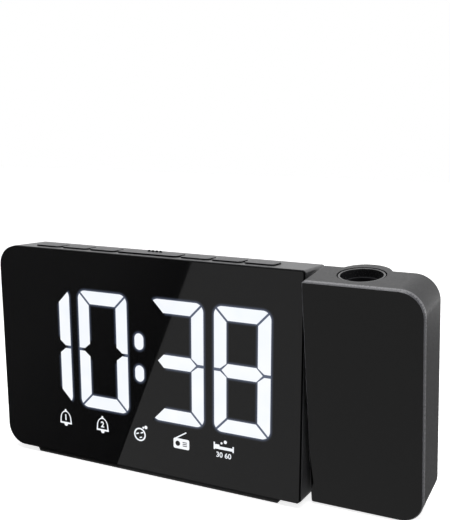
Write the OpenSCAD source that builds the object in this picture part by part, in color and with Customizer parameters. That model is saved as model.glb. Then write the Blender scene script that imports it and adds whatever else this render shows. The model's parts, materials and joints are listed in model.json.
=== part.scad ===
// Projection alarm clock: a wedge-shaped clock body with a smoked front panel,
// seven caps on top and a projector arm that turns on a hollow pivot at one end.
// Millimetres. +Z up, +X towards the projector arm, -Y is the front.
// Origin: on the table, under the middle of the body's base.

/* [Clock body] */
// Width of the body, without the projector arm
body_w = 144; // [140:1:156]
// Height of the body above its foot
body_h = 89.5; // [89.5:0.5:96]
// Depth of the body at the top
top_d = 19; // [17:0.5:21]
// Depth of the body at the base
base_d = 38; // [36:1:46]
// Wall thickness of the housing
wall = 2; // [1.6:0.1:2.4]
// Corner radius at the end away from the arm
left_r = 9; // [6:0.5:12]
// Corner radius at the arm end
right_r = 1.2; // [1:0.1:3]
// Height of the rubber foot below the body
foot_h = 2.2; // [2:0.1:4]

/* [Front panel and digits] */
// Thickness of the front panel
panel_t = 1.5; // [1:0.1:2]
// Width of one digit
digit_w = 25.1; // [24:0.1:26]
// Height of one digit
digit_h = 50.8; // [48:0.2:53]
// Width of a digit's stroke
stroke = 5.8; // [5:0.1:7]
// Distance from one digit to the next in a pair
digit_pitch = 29.1; // [28.5:0.1:29.5]
// Height of the digits' lower edge above the body's base
digit_z = 23; // [21:0.2:24]
// Distance between the status icons
icon_pitch = 19.55; // [16:0.05:22]

/* [Top caps] */
// Width of a small cap
cap_w = 12.7; // [11:0.1:13]
// Width of the long cap in the middle
bar_w = 28.6; // [24:0.1:30]
// Depth of every cap, front to back
cap_d = 7.8; // [6:0.1:8]
// Space between two caps
cap_space = 1.45; // [1.2:0.05:2]
// How far a cap stands above the body
cap_rise = 0.6; // [0.5:0.05:1.2]
// How far a cap travels when it is pressed
cap_travel = 0.45; // [0.2:0.05:0.5]

/* [Projector arm] */
// Width of the arm
arm_w = 44.4; // [42:0.2:50]
// Height of the arm
arm_h = 89.4; // [86:0.2:90]
// Thickness of the arm without the bulge at its back
arm_t = 20.5; // [20.3:0.1:22]
// Space between the body and the arm
arm_gap = 1.6; // [1.2:0.1:2]
// Forward lean of the arm at rest, in degrees
arm_lean = 9; // [0:0.5:30]
// Corner radius at the arm's free end
arm_r = 9.2; // [6:0.2:12]
// Thickness of the glossy cover on the arm's front
arm_cover_t = 2.2; // [1.8:0.1:2.6]

/* [Projector] */
// Outer diameter of the focusing ring
ring_d = 17.2; // [17:0.1:17.6]
// Width of the ring's rim
ring_rim = 0.85; // [0.8:0.05:0.95]
// Diameter of the objective lens
lens_d = 13; // [12:0.5:13.5]
// How far the lens moves each way when it is focused
focus_travel = 1; // [0.5:0.1:1.2]

/* [Inside the body] */
// Diameter of the speaker
speaker_d = 36; // [28:1:36]
// Diameter of the back-up cell
cell_d = 20; // [16:1:20]
// Thickness of the back-up cell
cell_t = 3.2; // [2.5:0.1:3.2]
// Outer diameter of the hollow pivot shaft
shaft_d = 10; // [8:0.5:10]

/* [Hidden] */
$fn = 48;

shell_grey = "#3b3b3d";
gloss_black = "#0d0d0f";
board_green = "#1f5c38";
screw_grey = "#5a5c60";

fit = 0.05;          // radial clearance of a running fit
slack = 0.15;        // space beside a sliding or turning face
loose = 0.3;         // space around a piece that drops into a pocket
join = 0.5;          // how far moulded shapes reach into one another
cut = 1;             // how far a cutting tool runs past a face
skin = 0.01;         // thin slices and overlaps that don't show
board_t = 1.6;       // every circuit board
fine_fn = 24;        // circles under 2 mm

// ---- Body: y = 0 is the panel's front face, z = 0 is the base ----
side = body_w / 2;
slope_a = atan((base_d - top_d) / body_h);   // lean of the back
cover_t = 2.2;       // rear cover
frame_t = 1.5;       // front frame behind the panel
panel_inset = 0.2;
body_back = base_d + 10;
min_corner_r = 0.4;

// ---- Display ----
window_x = 62.8;
window_z0 = 9.7;
window_z1 = 77.3;
diffuser_t = 0.3;
reflector_y0 = panel_t + diffuser_t;
reflector_d = 6;
board_y = reflector_y0 + reflector_d;
inner_digit_x = digit_pitch - digit_w + 1.35;
digit_xs = [
    -inner_digit_x - digit_w - digit_pitch, -inner_digit_x - digit_w,
    inner_digit_x, inner_digit_x + digit_pitch
];
digit_r = 3;
mitre = 0.5;         // half the gap between two strokes, measured along an edge
colon_w = 4.6;
colon_h = 6.9;
colon_zs = [41.7, 55];
icon_z = 16.4;
icon_well = 8.6;
icon_x0 = -39.1;
icon_xs = [for (i = [0:4]) icon_x0 + i * icon_pitch];
display_x = 59;
display_z0 = 5.4;
display_z1 = 80.4;
display_posts = [for (x = [-50, 50]) for (z = [7.2, 78.9]) [x, z]];
display_post_d = 3;
led = [2.8, 0.8, 3.5];

// ---- Caps ----
row_mid = 0.5;
cap_step = cap_w + cap_space;
bar_step = (bar_w + cap_w) / 2 + cap_space;  // from the long cap to its neighbour
cap_xs = [
    for (i = [0:6]) i == 3 ? row_mid
        : i < 3 ? row_mid - bar_step - (2 - i) * cap_step
        : row_mid + bar_step + (i - 4) * cap_step
];
cap_ws = [for (i = [0:6]) i == 3 ? bar_w : cap_w];
cap_y0 = 5;
cap_y = cap_y0 + cap_d / 2;
cap_r = 1.8;
cap_clear = 0.25;
flange_t = 1;
flange_reach = 0.9;
flange_top = body_h - wall - slack;
stem_d = 3.2;
switch_w = 6;
switch_h = 3.4;
well_d = 3.8;        // well in a switch that the stem runs in
well_floor = 1.2;
key_board_z = 80.6;
key_board_x = 63.5;
key_board_y0 = 3.4;
key_board_d = 11.8;
key_post_x = 60.8;
key_post_d = 4.4;
dot_d = 0.9;
dot_pitch = 1.85;
dot_y = 11.3;
dot_depth = 0.4;

// ---- Pivot ----
pivot_y = 11.6;
pivot_z = 44.3;
bush_d = 14;
bush_flange_d = 18;
bush_flange_t = 1;
bush_in_x = side - 5.5;
boss_d = 18;
washer_t = 0.8;
washer_d = 15;
washer_x = bush_in_x - slack - washer_t;
clip_t = 0.8;
clip_x = washer_x - slack - clip_t;
clip_d = 14;
clip_lip = 0.6;      // how far the clip's jaws close in under the shaft
shaft_x0 = clip_x - 1;
shaft_bore = 5;
groove_d = shaft_d - 1.6;
lead_d = 2.6;
plug_d = 4;
plug_l = 6;
lead_x0 = shaft_x0 - 9;

// ---- Arm, upright, with its pivot at the origin of its own frame ----
arm_x0 = side + arm_gap;
arm_x1 = arm_x0 + arm_w;
pivot_in = 11.2;     // from the arm's front to its pivot
arm_yf = -pivot_in;
arm_yb = arm_t - pivot_in;
arm_zb = -arm_h / 2;
arm_zt = arm_h / 2;
arm_bevel = 0.4;
near_r = 0.8;        // corner radius beside the body
min_near_r = 0.3;
spigot_gap = 0.15;   // between the cover's spigot and the shell
spigot_wall = 1.05;
spigot_h = 1.4;
arm_post_d = 4.6;
arm_posts = [
    [arm_x0 + 5, arm_zb + 9], [arm_x1 - 6.5, arm_zb + 10],
    [arm_x1 - 6.5, arm_zt - 13], [arm_x0 + 4.9, 22]
];
arm_recess_h = 1.1;
arm_recess_d = 4.6;
lens_x = arm_x0 + 17.5;
ring_y = arm_yf + 13.8;
ring_hole_d = ring_d + 0.8;
bulge_r = 10.2;
bulge_y = arm_yf + 16.4;
shaft_flange_d = 13.6;
shaft_flange_t = 2;

// ---- Projector, along the arm ----
barrel_r = 8.45;
barrel_bore_r = 7.65;
barrel_z0 = 3.4;
barrel_z1 = arm_zt - 6.6;
wing = [28, 1.6, 8]; // plate that holds the barrel to the shell's back wall
wing_z = 10;
lamp_board_t = 1.2;
lamp_d = 5;
lamp_h = 3.4;
condenser_z = 13;
condenser_rim = 1.6;
condenser_dome = 3;
condenser_r = 9.5;   // radius of its curved face
image_w = 10.7;
image_t = 1.6;
image_z = 20;
ring_z0 = barrel_z1 + 0.2;
ring_top = arm_zt - 0.15;
ring_bore_r = ring_d / 2 - ring_rim;
carrier_r = barrel_bore_r - fit;
carrier_z0 = 24;
carrier_z1 = ring_top - 2 - focus_travel;
lens_seat_z = carrier_z1 - 3.2;
lens_rim = 2;
lens_dome = 2.6;
dome_r = (pow(lens_d / 2, 2) + pow(lens_dome, 2)) / (2 * lens_dome);

// ---- Back of the body, in the sloping frame: z runs up the slope, y = 0 is outside ----
main_board_y = -14.6;
main_board_x0 = -62;
main_board_w = 60;
main_board_z0 = 6;
main_board_h = 38;
main_back_y = main_board_y + board_t;
main_posts = [[-58, 10], [-6, 10], [-58, 40], [-6, 40]];
main_post_d = 5;
chips = [[-30, 22, 10, 10], [-48, 14, 7, 5]];          // x, z, width and height
chip_t = 1.2;
cans = [[-24, 32, 6.3, 8], [-34, 32, 6.3, 8], [-14, 34, 9, 5]]; // x, z, diameter and height
tuner = [13, 2.6, 12];
tuner_x = -56;
tuner_z = 22;
ribbon_x = -44;
ribbon_w = 18;
ribbon_t = 0.3;
ribbon_z1 = 56;      // where it leaves the display board
ribbon_z0 = 36.8;    // where it meets the main board
// a little in front of the main board at that height
ribbon_y0 = base_d + (main_board_y - ribbon_z0 * sin(slope_a)) / cos(slope_a) - 0.12;
cover_posts = [[-64.5, 13], [64.5, 13], [-64.5, 79], [64.5, 79]];
cover_post_d = 6.4;
cover_post_h = 8;
cover_hole_d = 2.8;
cover_recess_d = 5.2;
cover_recess_h = 1.2;
speaker_x = 30;
speaker_z = 36;
speaker_rim = 2;
basket_t = 1.2;
basket_h = 7;
magnet_d = 18;
magnet_t = 4.5;
cone_r = speaker_d / 2 - 2.9;
cone_t = 0.5;
cone_dome = 4;
cone_edge = 0.9;
dome_flat_r = 6;
grille_pitch = 3.2;
grille_slot = 1.8;
grille_r = 15.5;
cell_x = -34;
cell_z = 66;
cell_well_d = cell_d + 0.6;
cap_seat_d = 24;
cap_seat_h = 2;
cell_top_y = -cap_seat_h - 0.2;
cell_under_y = cell_top_y - cell_t;
well_h = 6.6;
well_wall = 2.2;
leaf_t = 0.25;       // contact spring
leaf_w = 4;
lug_r = cap_seat_d / 2 + 1.1;
lug_t = 0.7;
lug_w = 5;
lug_groove_h = 1;
unlock_a = 60;
coin_slot = [14, 0.9, 1.6];
port_z = 16;
port_out = -0.5;     // the sockets end this far inside the cover's face
inlet_x = -14;
inlet_w = 9;
inlet_d = 8;
inlet_bore = 6.3;
inlet_depth = 9.5;
inlet_pin_d = 2;
inlet_pin_y = -1.2;
usb_x = -34;
usb_w = 13.1;
usb_h = 5.7;
usb_wall = 0.45;
usb_depth = 10.5;
usb_tongue = [11, 8.6, 1.8];
aerial_x = -52;
aerial_d = 4;
aerial_bore = 1.5;
grommet_lip_d = 5.4;
grommet_head_d = 6;
grommet_lip_t = 1.2;
grommet_head_t = 0.8;

// ---- Foot ----
foot_x0 = -56;
foot_x1 = 62;
foot_y0 = 1.4;
foot_y1 = 36;
foot_set = 1;        // depth of the pocket that the foot is glued into
foot_step = 1;       // the foot's edge covers the pocket by this much
foot_gap = 0.1;
foot_flare = 0.9;

// ---- Screws: diameters of thread and head, height of the head, length of the thread ----
cover_screw = [2, 4.8, 1, 7];
main_screw = [1.8, 3.8, 0.9, 6.6];
display_screw = [1.4, 2.6, 0.8, 5.6];
key_screw = [1.6, 3.4, 0.8, 5.9];
arm_screw = [1.8, 4.2, 0.9, 6.9];
screw_set = 0.2;     // how far a head lies below the face around it
driver_w = 0.6;

// ---------------------------------------------------------------- helpers

// Places a body piece in the clock's frame
module in_body() translate([0, -base_d / 2, foot_h]) children();

// Turns a body piece into the plane of the sloping back
module lean_back() translate([0, base_d, 0]) rotate([slope_a, 0, 0]) children();

// Places a piece on the sloping back
module on_slope() in_body() lean_back() children();

// Places an arm piece, which is drawn upright around its pivot
module in_arm() in_body() translate([0, pivot_y, pivot_z]) rotate([arm_lean, 0, 0]) children();

// Extrudes an x-z outline along y
module along_y(y0, y1) translate([0, y1, 0]) rotate([90, 0, 0]) linear_extrude(y1 - y0) children();

// Round bar along x
module bar_x(x0, x1, d) translate([x0, 0, 0]) rotate([0, 90, 0]) cylinder(h = x1 - x0, d = d);

// Round bar along y
module bar_y(x, z, y0, y1, d) translate([x, y1, z]) rotate([90, 0, 0]) cylinder(h = y1 - y0, d = d);

// Rectangle with one radius at its left corners and another at its right corners
module corner_plate(x0, x1, z0, z1, r0, r1) {
    mid = (x0 + x1) / 2;
    translate([x0 + r0, z0]) square([x1 - r1 - x0 - r0, z1 - z0]);
    translate([x0, z0 + r0]) square([mid - x0, z1 - z0 - 2 * r0]);
    translate([mid - cut, z0 + r1]) square([x1 - mid + cut, z1 - z0 - 2 * r1]);
    for (z = [z0 + r0, z1 - r0]) translate([x0 + r0, z]) circle(r0);
    for (z = [z0 + r1, z1 - r1]) translate([x1 - r1, z]) circle(r1);
}

// Outline of the body seen from the front
module face_outline(inset = 0)
    corner_plate(-side + inset, side - inset, inset, body_h - inset,
                 left_r - inset, max(right_r - inset, min_corner_r));

// Layer of the body that lies parallel to its sloping back, between two depths
module slope_layer(y0, y1) lean_back()
    translate([-body_w, y0, -body_h / 2]) cube([2 * body_w, y1 - y0, 2 * body_h]);

// Opening in the front frame, and what fills it
module window(inset = 0)
    translate([-window_x + inset, window_z0 + inset])
        square([2 * (window_x - inset), window_z1 - window_z0 - 2 * inset]);

// Outline of the arm seen from the front
module arm_outline(inset = 0)
    corner_plate(arm_x0 + inset, arm_x1 - inset, arm_zb + inset, arm_zt - inset,
                 max(near_r - inset, min_near_r), arm_r - inset);

// Cap-shaped plate, seen from above, centred on a cap
module cap_plate(w, grow = 0) {
    r = cap_r + grow;
    corner_plate(-w / 2 - grow, w / 2 + grow, -cap_d / 2 - grow, cap_d / 2 + grow, r, r);
}

// Pan-head screw along y with a cross recess: its head ends at y1
module screw_y(p, y1, size) {
    head_d = size[1];
    head_t = size[2];
    difference() {
        union() {
            bar_y(p[0], p[1], y1 - head_t - size[3], y1 - head_t + skin, size[0]);
            bar_y(p[0], p[1], y1 - head_t, y1, head_d);
        }
        for (s = [[head_d / 3, driver_w / 2], [driver_w / 2, head_d / 3]])
            translate([p[0] - s[0], y1 - head_t / 2, p[1] - s[1]])
                cube([2 * s[0], cut, 2 * s[1]]);
    }
}

// ---------------------------------------------------------------- digits

// The seven strokes of a digit, before its outer corners are rounded
function strokes() = let (
        w = digit_w, h = digit_h, s = stroke, m = digit_h / 2, k = mitre, half = stroke / 2
    ) [
        [[k, h], [w - k, h], [w - s - k, h - s], [s + k, h - s]],
        [[w, h - k], [w - s, h - s - k], [w - s, m + half], [w - half, m + k], [w, m + k]],
        [[w, m - k], [w - half, m - k], [w - s, m - half], [w - s, s + k], [w, k]],
        [[k, 0], [s + k, s], [w - s - k, s], [w - k, 0]],
        [[0, k], [s, s + k], [s, m - half], [half, m - k], [0, m - k]],
        [[0, m + k], [half, m + k], [s, m + half], [s, h - s - k], [0, h - k]],
        [[half + k, m], [s + k, m + half], [w - s - k, m + half], [w - half - k, m],
         [w - s - k, m - half], [s + k, m - half]]
    ];

// Middle of each stroke, where its LED sits; the upright ones sit near a quarter of the height
function stroke_mids() = let (
        w = digit_w, h = digit_h, half = stroke / 2, low = 0.26 * digit_h
    ) [
        [w / 2, h - half], [w - half, h - low], [w - half, low], [w / 2, half],
        [half, low], [half, h - low], [w / 2, h / 2]
    ];

module digit_outline() intersection() {
    for (p = strokes()) polygon(p);
    corner_plate(0, digit_w, 0, digit_h, digit_r, digit_r);
}

module colon_dot() {
    r = colon_w / 2;
    square([colon_w, colon_h - colon_w], center = true);
    for (z = [-1, 1]) translate([0, z * (colon_h / 2 - r)]) circle(r);
}

module light_wells() {
    for (x = digit_xs) translate([x, digit_z]) digit_outline();
    for (z = colon_zs) translate([0, z]) colon_dot();
    for (x = icon_xs) translate([x, icon_z]) square(icon_well, center = true);
}

// ---------------------------------------------------------------- body shells

module front_panel() color(gloss_black) in_body()
    along_y(0, panel_t) face_outline(panel_inset);

// Posts for the back cover's screws, each with a web to the side wall
module cover_post_set() lean_back() for (p = cover_posts) {
    y0 = -cover_t - cover_post_h;
    bar_y(p[0], p[1], y0, -cover_t + cut, cover_post_d);
    translate([p[0] > 0 ? p[0] : -side + cut, y0, p[1] - cut])
        cube([side - cut - abs(p[0]), cover_post_h + cut, 2 * cut]);
}

module housing() color(shell_grey) in_body() difference() {
    key_post_z = key_board_z + board_t;
    union() {
        difference() {
            along_y(panel_t, body_back) face_outline();
            along_y(panel_t + frame_t, body_back + cut) face_outline(wall);
        }
        // boss around the pivot bush
        translate([0, pivot_y, pivot_z]) bar_x(bush_in_x, side - cut, boss_d);
        // posts that the display board and the button board are screwed to
        for (p = display_posts) bar_y(p[0], p[1], panel_t + join, board_y, display_post_d);
        for (x = [-key_post_x, key_post_x]) translate([x, cap_y, key_post_z])
            cylinder(h = body_h - wall - key_post_z + cut, d = key_post_d);
        cover_post_set();
    }
    slope_layer(-cover_t, body_back);
    along_y(panel_t - cut, panel_t + frame_t + cut) window();
    for (i = [0:6]) translate([cap_xs[i], cap_y, body_h - wall - cut])
        linear_extrude(wall + 2 * cut) cap_plate(cap_ws[i], cap_clear);
    translate([0, pivot_y, pivot_z]) bar_x(bush_in_x - cut, side + cut, bush_d);
    for (p = display_posts)
        bar_y(p[0], p[1], panel_t + frame_t, board_y + cut, display_screw[0]);
    for (x = [-key_post_x, key_post_x]) translate([x, cap_y, key_board_z])
        cylinder(h = body_h - wall - key_board_z, d = key_screw[0]);
    lean_back() for (p = cover_posts)
        bar_y(p[0], p[1], -cover_t - cover_post_h + cut, 0, cover_screw[0]);
    translate([foot_x0 - foot_gap, foot_y0 + foot_step, -cut])
        cube([foot_x1 - foot_x0 + 2 * foot_gap, foot_y1 - foot_y0 - 2 * foot_step, foot_set + cut]);
}

module foot_mat() color("#2b2b2d") in_body() union() {
    tongue_y = foot_y0 + foot_step + foot_gap;
    along_y(foot_y0, foot_y1) polygon([
        [foot_x0, -foot_h], [foot_x1, -foot_h], [foot_x1 + foot_flare, 0], [foot_x0 - foot_flare, 0]
    ]);
    translate([foot_x0, tongue_y, -cut])
        cube([foot_x1 - foot_x0, foot_y1 + foot_y0 - 2 * tongue_y, foot_set + cut]);
}

// Vertical slots of the speaker grille, all within one circle
module grille() {
    n = floor(grille_r / grille_pitch);
    for (i = [-n:n]) {
        x = i * grille_pitch;
        h = sqrt(pow(grille_r, 2) - pow(x, 2)) - grille_slot / 2;
        translate([speaker_x + x, speaker_z]) {
            square([grille_slot, 2 * h], center = true);
            for (z = [-h, h]) translate([0, z]) circle(d = grille_slot, $fn = fine_fn);
        }
    }
}

// Room for the back-up cell, the cap's seat, and the groove that the cap's lugs turn in
module cell_well() translate([cell_x, 0, cell_z]) {
    reach = lug_r + slack;
    bar_y(0, 0, -cap_seat_h, cut, cap_seat_d + 0.2);
    bar_y(0, 0, -well_h, cut, cell_well_d);
    bar_y(0, 0, -cap_seat_h, -cap_seat_h + lug_groove_h, 2 * reach);
    // the two slots that the lugs enter by
    rotate([0, unlock_a, 0]) translate([-reach, -cap_seat_h, -lug_w / 2 - loose])
        cube([2 * reach, cap_seat_h + cut, lug_w + 2 * loose]);
}

// Openings for the power inlet, the charging outlet and the wire aerial
module port_holes() {
    bar_y(inlet_x, port_z, -cover_t - cut, cut, inlet_d + 0.4);
    translate([usb_x - usb_w / 2 - loose, -cover_t - cut, port_z - usb_h / 2 - loose])
        cube([usb_w + 2 * loose, cover_t + 2 * cut, usb_h + 2 * loose]);
    bar_y(aerial_x, port_z, -cover_t - cut, cut, aerial_d);
}

module rear_cover() color(shell_grey) difference() {
    under = -cover_t + join;
    seat_y = -cover_t - basket_t - 1;
    union() {
        in_body() intersection() {
            along_y(panel_t, body_back) face_outline();
            slope_layer(-cover_t, 0);
        }
        on_slope() {
            bar_y(cell_x, cell_z, -well_h - 1, under, cap_seat_d + 2 * well_wall);
            bar_y(speaker_x, speaker_z, seat_y, under, speaker_d + 2 * speaker_rim);
            for (p = main_posts) bar_y(p[0], p[1], main_back_y, under, main_post_d);
        }
    }
    on_slope() {
        cell_well();
        bar_y(speaker_x, speaker_z, seat_y - cut, -cover_t, speaker_d + loose);
        along_y(-cover_t - cut, cut) grille();
        port_holes();
        for (p = cover_posts) {
            bar_y(p[0], p[1], -cover_t - cut, cut, cover_hole_d);
            bar_y(p[0], p[1], -cover_recess_h, cut, cover_recess_d);
        }
        for (p = main_posts) bar_y(p[0], p[1], main_back_y - cut, -cover_t - 1, main_screw[0]);
    }
}

// ---------------------------------------------------------------- display

module digit_reflector() color("#e9e9e4") in_body() along_y(reflector_y0, board_y) difference() {
    window(loose);
    light_wells();
}

module diffuser_sheet() color("#f4f4ef") in_body() along_y(panel_t, reflector_y0) window(loose);

module display_board() color(board_green) in_body()
    along_y(board_y, board_y + board_t) difference() {
        translate([-display_x, display_z0]) square([2 * display_x, display_z1 - display_z0]);
        for (p = display_posts) translate(p) circle(d = display_screw[0] + 0.4);
    }

module led_chip(x, z) translate([x - led[0] / 2, board_y - led[1], z - led[2] / 2]) cube(led);

module display_leds() color("#f2e6a0") in_body() {
    for (x = digit_xs) for (m = stroke_mids()) led_chip(x + m[0], digit_z + m[1]);
    for (z = colon_zs) led_chip(0, z);
    for (x = icon_xs) led_chip(x, icon_z);
}

// ---------------------------------------------------------------- electronics

module main_board() color(board_green) on_slope() along_y(main_board_y, main_back_y) difference() {
    translate([main_board_x0, main_board_z0]) square([main_board_w, main_board_h]);
    for (p = main_posts) translate(p) circle(d = main_screw[0] + 0.4);
}

// Controller and driver on the front of the main board, capacitors and coil on its back
module board_components() color("#1b1b1d") on_slope() {
    for (c = chips) translate([c[0], main_board_y - chip_t, c[1]]) cube([c[2], chip_t, c[3]]);
    for (c = cans) bar_y(c[0], c[1], main_back_y, main_back_y + c[3], c[2]);
}

module tuner_can() color("silver") on_slope() translate([tuner_x, main_back_y, tuner_z]) cube(tuner);

module button_board() color(board_green) in_body() translate([0, 0, key_board_z]) difference() {
    translate([-key_board_x, key_board_y0, 0]) cube([2 * key_board_x, key_board_d, board_t]);
    for (x = [-key_post_x, key_post_x])
        translate([x, cap_y, -cut]) cylinder(h = board_t + 2 * cut, d = key_screw[0] + 0.4);
}

module tact_switches() color("#202022") in_body() for (x = cap_xs)
    translate([x, cap_y, key_board_z + board_t]) difference() {
        translate([-switch_w / 2, -switch_w / 2, 0]) cube([switch_w, switch_w, switch_h]);
        translate([0, 0, well_floor]) cylinder(h = switch_h, d = well_d);
    }

// Flat cable from the back of the display board down to the front of the main board
module ribbon_cable() color("#b9b4a6") in_body() {
    back = board_y + board_t;
    path = [
        [back + ribbon_t, ribbon_z1], [back + 1.6, ribbon_z1], [back + 1.6, ribbon_z0 + 3.2],
        [ribbon_y0, ribbon_z0]
    ];
    under = [for (i = [3:-1:0]) path[i] - [ribbon_t, ribbon_t]];
    translate([ribbon_x, 0, 0]) rotate([90, 0, 90])
        linear_extrude(ribbon_w) polygon(concat(path, under));
}

// ---------------------------------------------------------------- speaker

// Places a speaker piece behind the grille, its axis pointing into the body
module at_speaker() on_slope() translate([speaker_x, -cover_t, speaker_z])
    rotate([90, 0, 0]) children();

module speaker_basket() color("#55585c") at_speaker() difference() {
    inner_d = speaker_d - 5;
    union() {
        cylinder(h = basket_t, d = speaker_d);
        cylinder(h = basket_h, d1 = speaker_d - 3, d2 = magnet_d + 4);
    }
    translate([0, 0, -cut]) cylinder(h = basket_t + cut, d = inner_d);
    translate([0, 0, basket_t - skin])
        cylinder(h = basket_h - basket_t - 1, d1 = inner_d, d2 = magnet_d + 2.4);
    translate([0, 0, basket_t]) cylinder(h = basket_h, d = magnet_d - 4);
}

module speaker_cone() color("#26221f") at_speaker() rotate_extrude() polygon([
    [0, cone_dome], [dome_flat_r, cone_dome], [cone_r, cone_edge],
    [cone_r, cone_edge + 0.4], [dome_flat_r + 0.2, cone_dome + cone_t], [0, cone_dome + cone_t]
]);

module speaker_magnet() color("#7d7f83") at_speaker()
    translate([0, 0, basket_h]) cylinder(h = magnet_t, d = magnet_d);

// ---------------------------------------------------------------- back-up cell

module coin_cell() color("silver") on_slope() bar_y(cell_x, cell_z, cell_under_y, cell_top_y, cell_d);

// Leaf spring bent twice: it lies on the well's floor and presses on the cell from below
module battery_contacts() color("#c9b26b") on_slope() translate([cell_x, 0, cell_z]) {
    foot_l = 12;
    arm_l = 8;
    translate([-foot_l / 2, -well_h, -leaf_w / 2]) {
        cube([foot_l, leaf_t, leaf_w]);
        cube([leaf_t, cell_under_y + well_h, leaf_w]);
    }
    translate([-foot_l / 2, cell_under_y - leaf_t, -leaf_w / 2]) cube([arm_l, leaf_t, leaf_w]);
}

module battery_cap() color(shell_grey) on_slope() translate([cell_x, 0, cell_z]) difference() {
    under = -cap_seat_h + slack;
    union() {
        bar_y(0, 0, under, -0.1, cap_seat_d);
        intersection() {
            bar_y(0, 0, under, under + lug_t, 2 * lug_r);
            translate([-lug_r, under, -lug_w / 2]) cube([2 * lug_r, lug_t, lug_w]);
        }
    }
    translate([-coin_slot[0] / 2, -coin_slot[1], -coin_slot[2] / 2])
        cube([coin_slot[0], coin_slot[1] + cut, coin_slot[2]]);
}

// ---------------------------------------------------------------- sockets at the back

module power_inlet() color("#161618") on_slope() difference() {
    union() {
        translate([inlet_x - inlet_w / 2, main_back_y, port_z - inlet_w / 2])
            cube([inlet_w, -cover_t - loose - main_back_y, inlet_w]);
        bar_y(inlet_x, port_z, -cover_t - cut, port_out, inlet_d);
    }
    bar_y(inlet_x, port_z, -inlet_depth, cut, inlet_bore);
}

module inlet_pin() color("silver") on_slope()
    bar_y(inlet_x, port_z, -inlet_depth, inlet_pin_y, inlet_pin_d);

module usb_shell() color("silver") on_slope() difference() {
    translate([usb_x - usb_w / 2, main_back_y, port_z - usb_h / 2])
        cube([usb_w, port_out - main_back_y, usb_h]);
    translate([usb_x - usb_w / 2 + usb_wall, -usb_depth, port_z - usb_h / 2 + usb_wall])
        cube([usb_w - 2 * usb_wall, usb_depth + cut, usb_h - 2 * usb_wall]);
}

module usb_tongue() color("white") on_slope()
    translate([usb_x - usb_tongue[0] / 2, -usb_depth, port_z - usb_h / 2 + 2 * usb_wall])
        cube(usb_tongue);

module aerial_grommet() color("#1d1d1f") on_slope() difference() {
    union() {
        bar_y(aerial_x, port_z, -cover_t - grommet_lip_t, join, aerial_d);
        bar_y(aerial_x, port_z, 0, grommet_head_t, grommet_head_d);
        bar_y(aerial_x, port_z, -cover_t - grommet_lip_t, -cover_t, grommet_lip_d);
    }
    bar_y(aerial_x, port_z, -cover_t - 2 * cut, 2 * cut, aerial_bore);
}

// ---------------------------------------------------------------- screws in the body

module cover_screws() color(screw_grey) on_slope()
    for (p = cover_posts) screw_y(p, -screw_set, cover_screw);

module board_screws() color("silver") {
    // the main board's screws point backwards, into the rear cover
    on_slope() mirror([0, 1, 0])
        for (p = main_posts) screw_y(p, main_screw[2] - main_board_y, main_screw);
    in_body() {
        for (p = display_posts)
            screw_y(p, board_y + board_t + display_screw[2], display_screw);
        for (x = [-key_post_x, key_post_x]) translate([x, cap_y, key_board_z]) {
            translate([0, 0, -key_screw[2]]) cylinder(h = key_screw[2], d = key_screw[1]);
            translate([0, 0, -skin]) cylinder(h = key_screw[3], d = key_screw[0]);
        }
    }
}

// ---------------------------------------------------------------- pivot in the body

// Places a piece on the pivot's axis
module at_pivot() in_body() translate([0, pivot_y, pivot_z]) children();

module pivot_bush() color("#1b1b1d") at_pivot() difference() {
    union() {
        bar_x(bush_in_x, side, bush_d);
        bar_x(side, side + bush_flange_t, bush_flange_d);
    }
    bar_x(bush_in_x - cut, side + 2 * cut, shaft_d + 2 * fit);
}

module friction_washer() color("silver") at_pivot() difference() {
    bar_x(washer_x, bush_in_x, washer_d);
    bar_x(washer_x - cut, bush_in_x + cut, shaft_d + 2 * fit);
}

// ---------------------------------------------------------------- caps

module top_cap(i) color("#7b7b7d") in_body() translate([cap_xs[i], cap_y, 0]) {
    w = cap_ws[i];
    stem_z = key_board_z + board_t + well_floor + cap_travel + cap_clear;
    translate([0, 0, flange_top - flange_t])
        linear_extrude(body_h + cap_rise - flange_top + flange_t) cap_plate(w);
    translate([-w / 2 + cap_r, -cap_d / 2 - flange_reach, flange_top - flange_t])
        cube([w - 2 * cap_r, cap_d + 2 * flange_reach, flange_t]);
    translate([0, 0, stem_z]) cylinder(h = flange_top - stem_z, d = stem_d);
}

module snooze_bar() difference() {
    top_cap(3);
    // four small marks that the finger finds in the dark
    in_body() for (i = [0:3])
        translate([cap_xs[3] + (i - 1.5) * dot_pitch, dot_y, body_h + cap_rise - dot_depth])
            cylinder(h = cut, d = dot_d, $fn = fine_fn);
}

// ---------------------------------------------------------------- arm

// Glossy cover: a bevelled plate, a spigot that centres it in the shell, and four posts
module arm_front_cover() color(gloss_black) in_arm() difference() {
    plate_y = arm_yf + arm_cover_t;
    union() {
        hull() {
            along_y(arm_yf, arm_yf + skin) arm_outline(arm_bevel);
            along_y(arm_yf + arm_bevel, arm_yf + arm_bevel + skin) arm_outline();
        }
        along_y(arm_yf + arm_bevel, plate_y) arm_outline();
        difference() {
            along_y(plate_y - join, plate_y + spigot_h) arm_outline(wall + spigot_gap);
            along_y(plate_y, plate_y + spigot_h + cut)
                arm_outline(wall + spigot_gap + spigot_wall);
        }
        for (p = arm_posts) bar_y(p[0], p[1], plate_y - join, arm_yb - wall, arm_post_d);
    }
    for (p = arm_posts)
        bar_y(p[0], p[1], arm_yb - wall - arm_screw[3] - cut, arm_yb, arm_screw[0]);
}

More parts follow.
